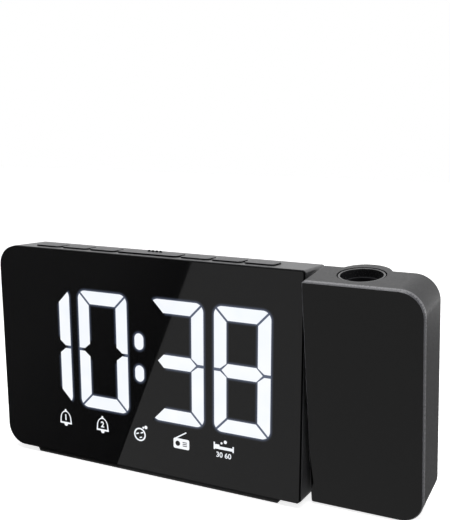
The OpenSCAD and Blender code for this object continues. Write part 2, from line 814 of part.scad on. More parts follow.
module arm_rear_shell() color(shell_grey) in_arm() difference() {
    union() {
        along_y(arm_yf + arm_cover_t, arm_yb) arm_outline();
        translate([lens_x, bulge_y, 0]) {
            cylinder(h = arm_zt, r = bulge_r);
            sphere(bulge_r);
        }
    }
    along_y(arm_yf + arm_cover_t - cut, arm_yb - wall) arm_outline(wall);
    translate([lens_x, bulge_y, 0]) {
        cylinder(h = arm_zt - wall, r = bulge_r - wall);
        sphere(bulge_r - wall);
    }
    translate([lens_x, ring_y, arm_zt - wall - cut])
        cylinder(h = wall + 2 * cut, d = ring_hole_d);
    bar_x(arm_x0 - cut, arm_x0 + wall + cut, shaft_d + 2 * fit);
    for (p = arm_posts) {
        bar_y(p[0], p[1], arm_yb - wall - cut, arm_yb + cut, arm_screw[0] + 0.6);
        bar_y(p[0], p[1], arm_yb - arm_recess_h, arm_yb + cut, arm_recess_d);
    }
}

module arm_screws() color(screw_grey) in_arm()
    for (p = arm_posts) screw_y(p, arm_yb - screw_set, arm_screw);

// Hollow trunnion: its flange is screwed inside the arm, its groove holds the clip
module pivot_shaft() color("#b9bbc0") in_arm() difference() {
    union() {
        bar_x(shaft_x0, arm_x0 + wall + join, shaft_d);
        bar_x(arm_x0 + wall, arm_x0 + wall + shaft_flange_t, shaft_flange_d);
    }
    bar_x(shaft_x0 - cut, arm_x0 + wall + shaft_flange_t + cut, shaft_bore);
    difference() {
        bar_x(clip_x, clip_x + clip_t, shaft_d + 2);
        bar_x(clip_x - cut, clip_x + clip_t + cut, groove_d);
    }
}

module shaft_clip() color("#6d6f73") in_arm() difference() {
    bar_x(clip_x, clip_x + clip_t, clip_d);
    bar_x(clip_x - cut, clip_x + clip_t + cut, groove_d);
    translate([clip_x - cut, -groove_d / 2 + clip_lip, -clip_d])
        cube([clip_t + 2 * cut, groove_d - 2 * clip_lip, clip_d]);
}

// Lead from the main board through the hollow shaft and up to the lamp
module projector_lead() color("#222224") in_arm() {
    bend_x = lens_x - 3;
    bar_x(lead_x0, bend_x, lead_d);
    translate([bend_x, 0, 0]) {
        sphere(d = lead_d);
        cylinder(h = barrel_z0, d = lead_d);
    }
}

module lead_plug() color("#d9d6cc") in_arm() bar_x(lead_x0 - plug_l, lead_x0, plug_d);

// ---------------------------------------------------------------- projector

// Places a piece on the axis of the projector
module on_beam(z) in_arm() translate([lens_x, ring_y, z]) children();

module projector_barrel() color("#1a1a1c") difference() {
    union() {
        on_beam(barrel_z0) cylinder(h = barrel_z1 - barrel_z0, r = barrel_r);
        in_arm() translate([lens_x - wing[0] / 2, arm_yb - wall - wing[1], wing_z]) cube(wing);
    }
    on_beam(barrel_z0 - cut) cylinder(h = barrel_z1 - barrel_z0 + 2 * cut, r = barrel_bore_r);
}

module lamp_board() color(board_green) on_beam(barrel_z0) cylinder(h = lamp_board_t, r = barrel_bore_r);

module red_led() color("#c01818") on_beam(barrel_z0 + lamp_board_t) {
    cylinder(h = lamp_h, d = lamp_d);
    translate([0, 0, lamp_h]) sphere(d = lamp_d);
}

module condenser_lens() color("#cfe2ea") on_beam(condenser_z) {
    cylinder(h = condenser_rim, r = barrel_bore_r);
    translate([0, 0, condenser_rim]) intersection() {
        cylinder(h = condenser_r, r = barrel_bore_r - 1);
        translate([0, 0, condenser_dome - condenser_r]) sphere(condenser_r);
    }
}

module image_panel() color("#39424a") on_beam(image_z)
    translate([-image_w / 2, -image_w / 2, 0]) cube([image_w, image_w, image_t]);

module focus_ring() color("#8f8f92") difference() {
    on_beam(ring_z0) cylinder(h = ring_top - ring_z0, d = ring_d);
    on_beam(ring_z0 - cut) cylinder(h = ring_top - ring_z0 + 2 * cut, r = ring_bore_r);
}

// Tube that the ring's thread moves; the lens sits on a step in its top
module lens_carrier() color("#101012") difference() {
    on_beam(carrier_z0) cylinder(h = carrier_z1 - carrier_z0, r = carrier_r);
    on_beam(carrier_z0 - cut) cylinder(h = carrier_z1 - carrier_z0 + 2 * cut, r = lens_d / 2 - 1);
    on_beam(lens_seat_z) cylinder(h = carrier_z1 - lens_seat_z + cut, r = lens_d / 2);
}

module objective_lens() color("#aebfca") on_beam(lens_seat_z) {
    cylinder(h = lens_rim, d = lens_d);
    translate([0, 0, lens_rim]) intersection() {
        cylinder(h = 2 * lens_dome, d = lens_d);
        translate([0, 0, lens_dome - dome_r]) sphere(dome_r, $fn = 96);
    }
}

// ---------------------------------------------------------------- nodes

front_panel();
housing();
rear_cover();
foot_mat();
digit_reflector();
diffuser_sheet();
display_board();
display_leds();
main_board();
board_components();
tuner_can();
button_board();
tact_switches();
speaker_basket();
speaker_cone();
speaker_magnet();
coin_cell();
battery_contacts();
battery_cap();
power_inlet();
inlet_pin();
usb_shell();
usb_tongue();
aerial_grommet();
cover_screws();
board_screws();
ribbon_cable();
pivot_bush();
friction_washer();
top_cap(0);  // button_power
top_cap(1);  // button_alarm_1
top_cap(2);  // button_alarm_2
snooze_bar();
top_cap(4);  // button_radio
top_cap(5);  // button_volume
top_cap(6);  // button_projector
arm_front_cover();
arm_rear_shell();
pivot_shaft();
shaft_clip();
projector_barrel();
lamp_board();
red_led();
condenser_lens();
image_panel();
arm_screws();
projector_lead();
lead_plug();
focus_ring();
lens_carrier();
objective_lens();
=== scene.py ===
import json
import math

import bmesh
import bpy
import numpy as np
from mathutils import Matrix, Quaternion, Vector


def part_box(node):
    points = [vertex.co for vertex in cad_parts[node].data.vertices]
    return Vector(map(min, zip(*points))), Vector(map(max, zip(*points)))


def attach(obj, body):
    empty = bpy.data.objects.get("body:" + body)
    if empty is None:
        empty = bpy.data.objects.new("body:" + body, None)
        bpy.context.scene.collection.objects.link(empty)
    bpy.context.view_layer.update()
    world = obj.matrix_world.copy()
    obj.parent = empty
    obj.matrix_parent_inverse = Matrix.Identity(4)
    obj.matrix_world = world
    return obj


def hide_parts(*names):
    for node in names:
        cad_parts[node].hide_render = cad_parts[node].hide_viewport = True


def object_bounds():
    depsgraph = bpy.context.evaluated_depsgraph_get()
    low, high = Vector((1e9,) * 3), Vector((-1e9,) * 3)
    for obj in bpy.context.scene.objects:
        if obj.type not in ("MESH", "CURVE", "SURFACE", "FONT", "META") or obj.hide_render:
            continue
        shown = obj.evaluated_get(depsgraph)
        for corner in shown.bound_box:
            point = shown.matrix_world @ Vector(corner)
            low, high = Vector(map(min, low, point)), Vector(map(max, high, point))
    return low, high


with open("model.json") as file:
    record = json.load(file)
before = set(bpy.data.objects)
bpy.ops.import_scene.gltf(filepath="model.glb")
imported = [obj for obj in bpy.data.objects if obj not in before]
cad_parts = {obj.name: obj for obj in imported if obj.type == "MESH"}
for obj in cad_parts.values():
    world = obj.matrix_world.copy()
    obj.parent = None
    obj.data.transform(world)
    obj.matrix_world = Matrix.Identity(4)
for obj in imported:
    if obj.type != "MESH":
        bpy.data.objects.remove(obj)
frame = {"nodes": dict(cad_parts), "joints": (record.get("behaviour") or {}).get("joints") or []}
cad_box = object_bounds()

# ---------------------------------------------------------------- housing
# The body's moulded shell: top, bottom, side walls and the frame behind the panel, in one piece.
# Dark grey ABS from a spark-eroded mould, which leaves a fine even grain and barely rounded edges.

MM = 0.001
FRONT_EDGE = 0.15 * MM   # rounding of the shell's front edge, around the panel
SHARP = math.radians(40)   # an edge that turns by less than this isn't rounded
SAME_PLANE = 0.01 * MM   # how far a corner may be from a plane that it lies in


def linear(colour):
    """Linear red, green, blue and alpha of an sRGB hex colour."""
    parts = [int(colour[i:i + 2], 16) / 255 for i in (1, 3, 5)]
    return [p / 12.92 if p <= 0.04045 else ((p + 0.055) / 1.055) ** 2.4 for p in parts] + [1]


def add(material, kind, sockets=None, **settings):
    """Adds one shader node. A socket is given a value, or the output of another node."""
    made = material.node_tree.nodes.new("ShaderNode" + kind)
    for name, value in settings.items():
        setattr(made, name, value)
    for name, value in (sockets or {}).items():
        if isinstance(value, bpy.types.NodeSocket):
            material.node_tree.links.new(value, made.inputs[name])
        else:
            made.inputs[name].default_value = value
    return made


def finish_of(name, colour, roughness, **sockets):
    """A new material and its shader, with the values that are the same all over the piece."""
    material = bpy.data.materials.new(name)
    material.use_nodes = True
    shader = material.node_tree.nodes["Principled BSDF"]
    shader.inputs["Base Color"].default_value = linear(colour)
    shader.inputs["Roughness"].default_value = roughness
    for socket, value in sockets.items():
        shader.inputs[socket.replace("_", " ")].default_value = value
    return material, shader


def mottle(material, shader, dark, light, size, detail=2, socket="Base Color", stops=(0.35, 0.65)):
    """Colour that drifts between two hex colours over patches of that size."""
    place = add(material, "TexCoord").outputs["Object"]
    patches = add(material, "TexNoise", {"Vector": place, "Scale": 1 / size, "Detail": detail})
    ramp = add(material, "ValToRGB", {"Fac": patches.outputs["Fac"]})
    for stop, at, colour in zip(ramp.color_ramp.elements, stops, (dark, light)):
        stop.position = at
        stop.color = linear(colour)
    material.node_tree.links.new(ramp.outputs["Color"], shader.inputs[socket])


def grain(material, shader, size, depth, smooth, rough):
    """Bumps of that size and depth, and a roughness that goes up and down with them."""
    place = add(material, "TexCoord").outputs["Object"]
    bumps = add(material, "TexNoise", {"Vector": place, "Scale": 1 / size, "Detail": 2})
    sheen = add(material, "MapRange", {"Value": bumps.outputs["Fac"], "From Min": 0.3,
                                       "From Max": 0.7, "To Min": smooth, "To Max": rough})
    relief = add(material, "Bump", {"Height": bumps.outputs["Fac"], "Distance": depth})
    material.node_tree.links.new(sheen.outputs["Result"], shader.inputs["Roughness"])
    material.node_tree.links.new(relief.outputs["Normal"], shader.inputs["Normal"])


def joined_copy(node):
    """Copy of a CAD piece whose loose triangles share corners and flat faces again."""
    mesh = bmesh.new()
    mesh.from_mesh(frame["nodes"][node].data)
    bmesh.ops.remove_doubles(mesh, verts=mesh.verts, dist=0.002 * MM)
    bmesh.ops.dissolve_limit(mesh, angle_limit=math.radians(0.2), use_dissolve_boundaries=False,
                             verts=mesh.verts, edges=mesh.edges)
    mesh.normal_update()
    return mesh


def outer_edges(mesh, chosen):
    """Sharp edges of the faces that nothing of the piece lies in front of, where chosen agrees."""
    corners = np.array([v.co for v in mesh.verts])
    found = set()
    for face in mesh.faces:
        foremost = (corners @ np.array(face.normal)).max()
        if foremost - face.normal.dot(face.verts[0].co) > 2 * SAME_PLANE:
            continue
        for edge in face.edges:
            if edge.calc_face_angle(0) > SHARP and chosen(edge, face):
                found.add(edge)
    return [edge for edge in mesh.edges if edge in found]


def rounded(mesh, edges, size, segments=2):
    """Rounds those edges of a mesh."""
    bmesh.ops.bevel(mesh, geom=edges, offset=size, offset_type="OFFSET", affect="EDGES",
                    segments=segments, profile=0.5, clamp_overlap=True, material=-1)


def piece(name, mesh, body, material, replaced=(), smooth=35):
    """Makes a bmesh a piece that rides on a body and stands for the CAD pieces it replaces."""
    mesh.normal_update()
    data = bpy.data.meshes.new(name)
    mesh.to_mesh(data)
    mesh.free()
    data.materials.append(material)
    data.shade_smooth()
    data.set_sharp_from_angle(angle=math.radians(smooth))
    made = bpy.data.objects.new(name, data)
    bpy.context.scene.collection.objects.link(made)
    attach(made, body)
    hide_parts(*replaced)
    even = made.modifiers.new("even_shading", "WEIGHTED_NORMAL")
    even.keep_sharp = True
    return made


# Moulded ABS: the grain breaks up highlights, so the shell looks dry and slightly sparkling.
# The real grain is about 0.1 mm and is drawn six times as coarse, so that it shows.
housing_abs, shader = finish_of("moulded_abs_dark_grey", "#3d3d3f", 0.38, IOR=1.53)
mottle(housing_abs, shader, "#3a3a3c", "#404042", 9 * MM)
grain(housing_abs, shader, 0.6 * MM, 0.02 * MM, 0.32, 0.44)

shell = joined_copy("housing")
shell_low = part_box("housing")[0]


def on_front(edge, face):
    """True for an edge of a side wall that lies in the shell's front plane."""
    return (abs(face.normal.y) < 0.1
            and all(abs(v.co.y - shell_low.y) < SAME_PLANE for v in edge.verts))


rounded(shell, outer_edges(shell, on_front), FRONT_EDGE)
piece("body_shell", shell, "clock_body", housing_abs, ["housing"])

# ---------------------------------------------------------------- foot
# A strip of soft rubber, moulded with slightly flared ends and glued into a pocket under the
# body. It keeps the clock from sliding when a cap is pressed.

FOOT_EDGE = 0.3 * MM


def every_sharp(mesh, chosen=lambda edge: True):
    """Sharp outward edges of a mesh, where chosen agrees."""
    return [e for e in mesh.edges
            if e.is_convex and e.calc_face_angle(0) > SHARP and chosen(e)]


# Moulded rubber: matte and slightly dusty, so it shows no highlight.
foot_rubber, shader = finish_of("moulded_rubber", "#0c0c0d", 0.85, IOR=1.52)
mottle(foot_rubber, shader, "#0a0a0b", "#0f0f10", 3 * MM)
grain(foot_rubber, shader, 0.5 * MM, 0.04 * MM, 0.75, 0.95)

mat = joined_copy("foot_mat")
rounded(mat, every_sharp(mat), FOOT_EDGE)
piece("foot_strip", mat, "clock_body", foot_rubber, ["foot_mat"])

# ---------------------------------------------------------------- light box
# What lights the digits: a white box with a well for each stroke, a film in front of it, and a
# board behind it with one white LED in each well.


def dress(nodes, material):
    """Gives CAD pieces that show as they are their finish."""
    for node in nodes:
        data = frame["nodes"][node].data
        data.materials.clear()
        data.materials.append(material)


# White polystyrene: bright and matte, so that each well mixes its own light.
light_box_white, shader = finish_of("white_polystyrene", "#f1f1ee", 0.6, IOR=1.59)
mottle(light_box_white, shader, "#eeeeea", "#f5f5f2", 12 * MM)
grain(light_box_white, shader, 0.5 * MM, 0.01 * MM, 0.5, 0.7)
dress(["digit_reflector"], light_box_white)

# Diffuser film: milky and satin, with the faint unevenness of rolled film.
diffuser_film, shader = finish_of("milky_polyester_film", "#f6f6f4", 0.45, IOR=1.57)
grain(diffuser_film, shader, 0.8 * MM, 0.005 * MM, 0.4, 0.5)
dress(["diffuser_sheet"], diffuser_film)

WAVE = 0.1 * math.pi     # from band to band of a wave texture whose scale is 1


def weave(material, shader, thread, depth):
    """The cross weave of glass cloth under a lacquer, as bumps one thread apart."""
    place = add(material, "TexCoord").outputs["Object"]
    across, along = [add(material, "TexWave", {"Vector": place, "Scale": WAVE / thread},
                         bands_direction=way).outputs["Fac"] for way in ("X", "Z")]
    cloth = add(material, "Math", {0: across, 1: along}, operation="MULTIPLY")
    relief = add(material, "Bump", {"Height": cloth.outputs[0], "Distance": depth})
    material.node_tree.links.new(relief.outputs["Normal"], shader.inputs["Normal"])


# Circuit board: green lacquer over woven glass, satin, with copper showing as lighter areas.
board_green, shader = finish_of("solder_mask_green", "#1f5c38", 0.35, IOR=1.52)
mottle(board_green, shader, "#1a5231", "#2a7046", 4 * MM, detail=0)
weave(board_green, shader, 0.5 * MM, 0.02 * MM)
dress(["display_board", "main_board", "button_board", "lamp_board"], board_green)

# LED package: yellow phosphor in a white cup.
led_phosphor, shader = finish_of("led_phosphor", "#f2e6a0", 0.4, IOR=1.5)
mottle(led_phosphor, shader, "#f6f3da", "#efdc7e", 1.5 * MM)
dress(["display_leds"], led_phosphor)

# ---------------------------------------------------------------- boards and small parts
# The main board with its chip, capacitors and coil, the tuner in its tinned can, the flat cable
# between the boards, and the switch under each cap.

# Moulded epoxy: black, with the fine matte skin of a chip package. The switches and the power
# inlet are of a plastic that looks the same.
black_package, shader = finish_of("moulded_epoxy_black", "#1b1b1d", 0.55, IOR=1.55)
mottle(black_package, shader, "#18181a", "#232325", 2 * MM)
grain(black_package, shader, 0.4 * MM, 0.01 * MM, 0.45, 0.65)
dress(["board_components", "tact_switches", "power_inlet"], black_package)

# Tinned steel: bright but soft, with cloudy patches where the tin ran thinner.
tinned_steel, shader = finish_of("tinned_steel", "#c9cbcd", 0.3, Metallic=1.0)
mottle(tinned_steel, shader, "#bfc1c4", "#d3d4d6", 2.5 * MM)
grain(tinned_steel, shader, 1.2 * MM, 0.004 * MM, 0.22, 0.38)
dress(["tuner_can", "inlet_pin", "board_screws", "friction_washer"], tinned_steel)


def ribs(material, shader, pitch, depth):
    """Straight ribs side by side along X, as bumps that far apart."""
    place = add(material, "TexCoord").outputs["Object"]
    waves = add(material, "TexWave", {"Vector": place, "Scale": WAVE / pitch}, bands_direction="X")
    relief = add(material, "Bump", {"Height": waves.outputs["Fac"], "Distance": depth})
    material.node_tree.links.new(relief.outputs["Normal"], shader.inputs["Normal"])


# Flat cable: grey PVC with a ridge over every wire, 0.63 mm apart.
cable_pvc, shader = finish_of("flat_cable_pvc", "#b9b4a6", 0.5, IOR=1.53)
ribs(cable_pvc, shader, 0.63 * MM, 0.2 * MM)
dress(["ribbon_cable"], cable_pvc)

# ---------------------------------------------------------------- speaker
# A small speaker behind the grille: pressed steel basket, paper cone and ferrite magnet. It sits
# in a round seat of the rear cover.

# Black-oxide steel: dark, faintly blue, with a waxy sheen. The screws have it as well.
dark_steel, shader = finish_of("black_oxide_steel", "#55585c", 0.42, Metallic=1.0)
mottle(dark_steel, shader, "#4b4e53", "#606368", 2 * MM)
grain(dark_steel, shader, 0.5 * MM, 0.008 * MM, 0.35, 0.5)
dress(["speaker_basket", "shaft_clip"], dark_steel)

# Pressed paper: its fibres show as small lighter flecks, and nothing shines.
paper_cone, shader = finish_of("pressed_paper", "#26221f", 0.9, IOR=1.45)
mottle(paper_cone, shader, "#1f1c19", "#322d29", 1.5 * MM, detail=6)
grain(paper_cone, shader, 0.6 * MM, 0.06 * MM, 0.85, 1.0)
dress(["speaker_cone"], paper_cone)

# Ground ferrite: dull grey ceramic, finely pitted by the grinding.
ferrite, shader = finish_of("ground_ferrite", "#5b5c60", 0.6, IOR=2.3)
mottle(ferrite, shader, "#515256", "#65666a", 3 * MM)
grain(ferrite, shader, 0.5 * MM, 0.02 * MM, 0.5, 0.7)
dress(["speaker_magnet"], ferrite)

# ---------------------------------------------------------------- rear cover
# The sloping back, moulded in the same ABS and held by four screws. It carries the speaker's
# grille, the sockets and the battery well.

BACK_EDGE = 0.8 * MM     # rounding of the back's outline
SLOT_EDGE = 0.15 * MM    # rounding of a slot or hole


def on_outline(edge):
    """True for the edge between the sloping back and an outer wall."""
    tilts = [abs(f.normal.y) for f in edge.link_faces]
    return len(tilts) == 2 and min(tilts) < 0.01 and max(tilts) > 0.5


back = joined_copy("rear_cover")
cap_turn = [j for j in frame["joints"] if j["name"] == "battery_cap_turn"][0]
back_normal = Vector(cap_turn["axis"]).normalized()
rounded(back, outer_edges(back, lambda e, f: f.normal.dot(back_normal) > 0.99
                          and not on_outline(e)), SLOT_EDGE, 1)
rounded(back, outer_edges(back, lambda e, f: f.normal.dot(back_normal) > 0.99
                          and on_outline(e)), BACK_EDGE, 3)
piece("rear_cover_moulding", back, "clock_body", housing_abs, ["rear_cover"])

# ---------------------------------------------------------------- screws and sockets
# Four screws in the back and the arm's own, of black-oxide steel, a charging outlet of folded
# tinned steel, and the rubber grommet that the wire aerial comes out of.

SCREW_EDGE = 0.1 * MM
OUTLET_EDGE = 0.15 * MM
GROMMET_EDGE = 0.2 * MM

for node, body, made in (("cover_screws", "clock_body", "back_screws"),
                         ("arm_screws", "projector_arm", "arm_screw_set")):
    screws = joined_copy(node)
    rounded(screws, every_sharp(screws), SCREW_EDGE, 1)
    piece(made, screws, body, dark_steel, [node])

outlet = joined_copy("usb_shell")
rounded(outlet, every_sharp(outlet), OUTLET_EDGE)
piece("outlet_shell", outlet, "clock_body", tinned_steel, ["usb_shell"])

# Nylon insulator: ivory white and slightly waxy.
white_insulator, shader = finish_of("white_nylon", "#e9e8e2", 0.4, IOR=1.53)
mottle(white_insulator, shader, "#e4e3dc", "#eeede8", 2 * MM)
dress(["usb_tongue", "lead_plug"], white_insulator)

grommet = joined_copy("aerial_grommet")
rounded(grommet, every_sharp(grommet), GROMMET_EDGE)
piece("aerial_outlet", grommet, "clock_body", foot_rubber, ["aerial_grommet"])

# ---------------------------------------------------------------- back-up cell
# A coin cell on a brass spring, in a well of the rear cover. A moulded round cap closes the well
# with a bayonet, and a coin turns it off.

TWIST_CAP_EDGE = 0.2 * MM

# Nickel plate: bright, with the slight waves of a pressed can.
nickel_plate, shader = finish_of("nickel_plate", "#d2d2cf", 0.2, Metallic=1.0)
mottle(nickel_plate, shader, "#cacac6", "#dadad8", 3 * MM)
grain(nickel_plate, shader, 0.7 * MM, 0.003 * MM, 0.14, 0.28)
dress(["coin_cell"], nickel_plate)

# Spring brass: warm, slightly dulled by handling.
spring_brass, shader = finish_of("spring_brass", "#c9b26b", 0.32, Metallic=1.0)
mottle(spring_brass, shader, "#bfa65c", "#d3bd79", 2 * MM)
dress(["battery_contacts"], spring_brass)


def off_the_inside(edge):
    """True for an edge of the cap that isn't on its inner face."""
    return all(f.normal.dot(back_normal) > -0.9 for f in edge.link_faces)


twist_cap = joined_copy("battery_cap")
rounded(twist_cap, every_sharp(twist_cap, off_the_inside), TWIST_CAP_EDGE)
piece("battery_cap_moulding", twist_cap, "battery_cap", housing_abs,
      ["battery_cap"])

# ---------------------------------------------------------------- front panel
# A 1.5 mm plate of smoked acrylic over the whole front, printed black behind. It is sawn to shape,
# and its edge carries painted shade.

PANEL_EDGE = 0.15 * MM   # rounding of the plate's front and back edge

# Smoked acrylic: so dark and smooth that the eye sees only what it mirrors.
panel_acrylic, shader = finish_of("smoked_acrylic", "#0e0e0f", 0.03, IOR=1.49)
grain(panel_acrylic, shader, 30 * MM, 0.002 * MM, 0.025, 0.04)

panel = joined_copy("front_panel")
rounded(panel, every_sharp(panel), PANEL_EDGE)
plate = piece("panel_plate", panel, "clock_body", panel_acrylic, ["front_panel"])

# The plate's sawn edge and its rounding: painted shade, near-black and rough, so they draw the
# dark line of the gap round the gloss.
panel_edge_painted_shade, shader = finish_of("acrylic_edge_painted_shade", "#040405", 0.9, IOR=1.49,
                              Specular_IOR_Level=0.05)
grain(panel_edge_painted_shade, shader, 0.4 * MM, 0.03 * MM, 0.85, 0.95)
plate.data.materials.append(panel_edge_painted_shade)
# Every face that isn't the plate's front or back, the rounding included, takes the painted shade.
for polygon in plate.data.polygons:
    polygon.material_index = 0 if abs(polygon.normal.y) > 0.99 else 1

# ---------------------------------------------------------------- lit digits
# Windows left clear in the panel's black print. A white diffuser behind them is lit from a well
# of its own for every stroke, so they glow evenly and spill a little light into the acrylic.

DIGIT_W = 24.35 * MM
DIGIT_H = 50.0 * MM
STROKE = 5.4 * MM        # width of a stroke
PAIR_PITCH = 29.1 * MM   # from one digit to the next in a pair
INNER_X = 5.72 * MM      # from the middle of the face to the digits beside it
DIGIT_Z = 23.4 * MM      # digits' lower edge above the body's base
OUTER_R = 3.6 * MM       # radius of a digit's outer corners
ROUND_STEPS = 6          # straight pieces that make half of such a corner
TURN = 15                # degrees from point to point of an oval or a small round corner
MITRE = 0.62 * MM        # half the gap between two strokes, along an edge
COLON = [4.3 * MM, 6.8 * MM]   # width and height of a colon's dot
COLON_ZS = [41.7 * MM, 55 * MM]   # the dots' middles above the body's base
GLOW = 1.4 * MM          # how far the stray light reaches round a stroke
SPILL = 0.17             # brightness of the stray light at a stroke's edge
GLOW_PROUD = 0.01 * MM   # how far each layer lies in front of the panel
LIT_PROUD = 0.02 * MM
SHEET = 0.1 * MM         # thickness of a layer, nearly all of it inside the panel

low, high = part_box("front_panel")
face_y = low.y
middle_x = (low.x + high.x) / 2
base_z = shell_low.z


def outer_corner(width, height, r, gap, first, last):
    """Points round a digit's upper right corner, from the side (0) to the top (90). An angle of
    45 stands for the point where the round meets the gap between two strokes."""
    side = math.copysign(math.degrees(math.asin(gap / (r * math.sqrt(2)))), first + last - 90)
    ends = [math.radians(a + side if a == 45 else a) for a in (first, last)]
    angles = [ends[0] + (ends[1] - ends[0]) * i / ROUND_STEPS for i in range(ROUND_STEPS + 1)]
    return [(width - r + r * math.cos(a), height - r + r * math.sin(a)) for a in angles]


def stroke_outline(which, grow, gap):
    """Outline of a digit's top, upper right or middle stroke, grown by that much all round."""
    w, h = DIGIT_W + 2 * grow, DIGIT_H + 2 * grow
    s, r, m = STROKE + 2 * grow, OUTER_R + grow, DIGIT_H / 2 + grow
    half = s / 2
    if which == "top":
        right = outer_corner(w, h, r, gap, 45, 90)
        outline = right + [(w - x, z) for x, z in reversed(right)]
        outline += [(s + gap, h - s), (w - s - gap, h - s)]
    elif which == "side":
        outline = outer_corner(w, h, r, gap, 0, 45)
        outline += [(w - s, h - s - gap), (w - s, m + half), (w - half, m + gap), (w, m + gap)]
    else:
        outline = [(half + gap, m), (s + gap, m + half), (w - s - gap, m + half)]
        outline += [(w - half - gap, m), (w - s - gap, m - half), (s + gap, m - half)]
    return [(x - grow, z - grow) for x, z in outline]


def digit(x, lit, grow=0.0, gap=MITRE):
    """Outlines of a digit's lit strokes. They are named a to f clockwise from the top, and g in
    the middle; a stroke below or on the left is turned over from its twin."""
    kinds = {"a": ("top", 1, 1), "b": ("side", 1, 1), "c": ("side", 1, -1), "d": ("top", 1, -1),
             "e": ("side", -1, -1), "f": ("side", -1, 1), "g": ("middle", 1, 1)}
    outlines = []
    for name in lit:
        which, across, up = kinds[name]
        outlines.append([(x + (px if across > 0 else DIGIT_W - px),
                          base_z + DIGIT_Z + (pz if up > 0 else DIGIT_H - pz))
                         for px, pz in stroke_outline(which, grow, gap)])
    return outlines


def oval(x, z, width, height, grow=0.0):
    """Upright oval with straight sides; a circle where height is the width."""
    r = width / 2 + grow
    lift = (height - width) / 2
    turns = [math.radians(a) for a in range(0, 181, TURN)]
    upper = [(r * math.cos(a), lift + r * math.sin(a)) for a in turns]
    return [(x + px, z + pz) for px, pz in upper + [(-px, -pz) for px, pz in upper]]


def sheets(outlines, proud):
    """Flat faces in the panel's plane, seen from the front, from outlines in x and z."""
    mesh = bmesh.new()
    for outline in outlines:
        mesh.faces.new([mesh.verts.new((x, face_y - proud, z)) for x, z in outline])
    bmesh.ops.remove_doubles(mesh, verts=mesh.verts, dist=0.001 * MM)
    mesh.normal_update()
    bmesh.ops.reverse_faces(mesh, faces=[f for f in mesh.faces if f.normal.y > 0])
    return mesh


def thicken(mesh):
    """Gives flat faces their thickness, backwards into the panel."""
    front = list(mesh.faces)
    copied = bmesh.ops.extrude_face_region(mesh, geom=front, use_keep_orig=True)["geom"]
    behind = [v for v in copied if isinstance(v, bmesh.types.BMVert)]
    bmesh.ops.translate(mesh, verts=behind, vec=(0, SHEET, 0))
    bmesh.ops.recalc_face_normals(mesh, faces=mesh.faces)
    return mesh


# Lit window: the diffuser's own light, nearly white with cooler clouds, under glossy acrylic.
lit_window, shader = finish_of("lit_window", "#202024", 0.05, IOR=1.49, Emission_Strength=1.0)
mottle(lit_window, shader, "#f0f6ff", "#fdfeff", 7 * MM, 1, "Emission Color", (0, 1))

# Stray light: it fades with the square of the distance from its outer edge, and fills the gaps
# between strokes dark grey.
stray_light, shader = finish_of("stray_light_in_acrylic", "#0e0e0f", 0.03, IOR=1.49,
                                Emission_Color=linear("#c4d6ff"))
fade = add(stray_light, "Attribute", attribute_name="glow").outputs["Fac"]
fade = add(stray_light, "Math", {0: fade, 1: 2.0}, operation="POWER").outputs[0]
spill = add(stray_light, "Math", {0: fade, 1: SPILL}, operation="MULTIPLY").outputs[0]
stray_light.node_tree.links.new(spill, shader.inputs["Emission Strength"])

first_x = middle_x - INNER_X - DIGIT_W
lit, halo = [], []
for x, strokes in ((first_x - PAIR_PITCH, "bc"), (first_x, "abcdef"),
                   (middle_x + INNER_X, "abcdg"), (middle_x + INNER_X + PAIR_PITCH, "abcdefg")):
    lit += digit(x, strokes)
    halo += digit(x, strokes, GLOW, 0.0)
for z in COLON_ZS:
    lit.append(oval(middle_x, base_z + z, *COLON))
    halo.append(oval(middle_x, base_z + z, *COLON, GLOW))

piece("lit_strokes", thicken(sheets(lit, LIT_PROUD)), "clock_body", lit_window)

spread = sheets(halo, GLOW_PROUD)
bmesh.ops.inset_region(spread, faces=list(spread.faces), thickness=GLOW, use_boundary=True,
                       use_even_offset=True)
brightness = spread.verts.layers.float.new("glow")
for v in spread.verts:
    v[brightness] = 0.0 if v.is_boundary else 1.0
piece("stray_light_round_strokes", thicken(spread), "clock_body", stray_light)

# ---------------------------------------------------------------- status marks
# Five smaller windows below the digits: two alarm bells with their numbers, a sleeping face, a
# radio with its rod aerial, and a bed over the minutes of its timer.

MARK_Z = 16.4 * MM       # the row's middle above the body's base
MARK_PITCH = 19.55 * MM  # from mark to mark
FIRST_MARK_X = -39.1 * MM
LINE = 0.65 * MM         # width of a drawn line
INK_PROUD = 0.03 * MM    # how far dark shapes lie in front of the panel
NUMBER_PROUD = 0.04 * MM


def bar(x, z, width, height, turn=0.0):
    """Rectangle around its middle, turned by that many degrees."""
    c, s = math.cos(math.radians(turn)), math.sin(math.radians(turn))
    corners = [(-width / 2, -height / 2), (width / 2, -height / 2),
               (width / 2, height / 2), (-width / 2, height / 2)]
    return [(x + px * c - pz * s, z + px * s + pz * c) for px, pz in corners]


def round_box(x0, x1, z0, z1, r):
    """Rectangle with round corners."""
    turns = [math.radians(a) for a in range(0, 91, TURN)]
    corners = ((x1 - r, z1 - r, 0), (x0 + r, z1 - r, 1), (x0 + r, z0 + r, 2), (x1 - r, z0 + r, 3))
    return [(x + r * math.cos(a + math.pi / 2 * k), z + r * math.sin(a + math.pi / 2 * k))
            for x, z, k in corners for a in turns]


def mirrored(half):
    """Whole outline from its right half, which runs from the foot to the top."""
    return half + [(-x, z) for x, z in reversed(half) if x > 0]


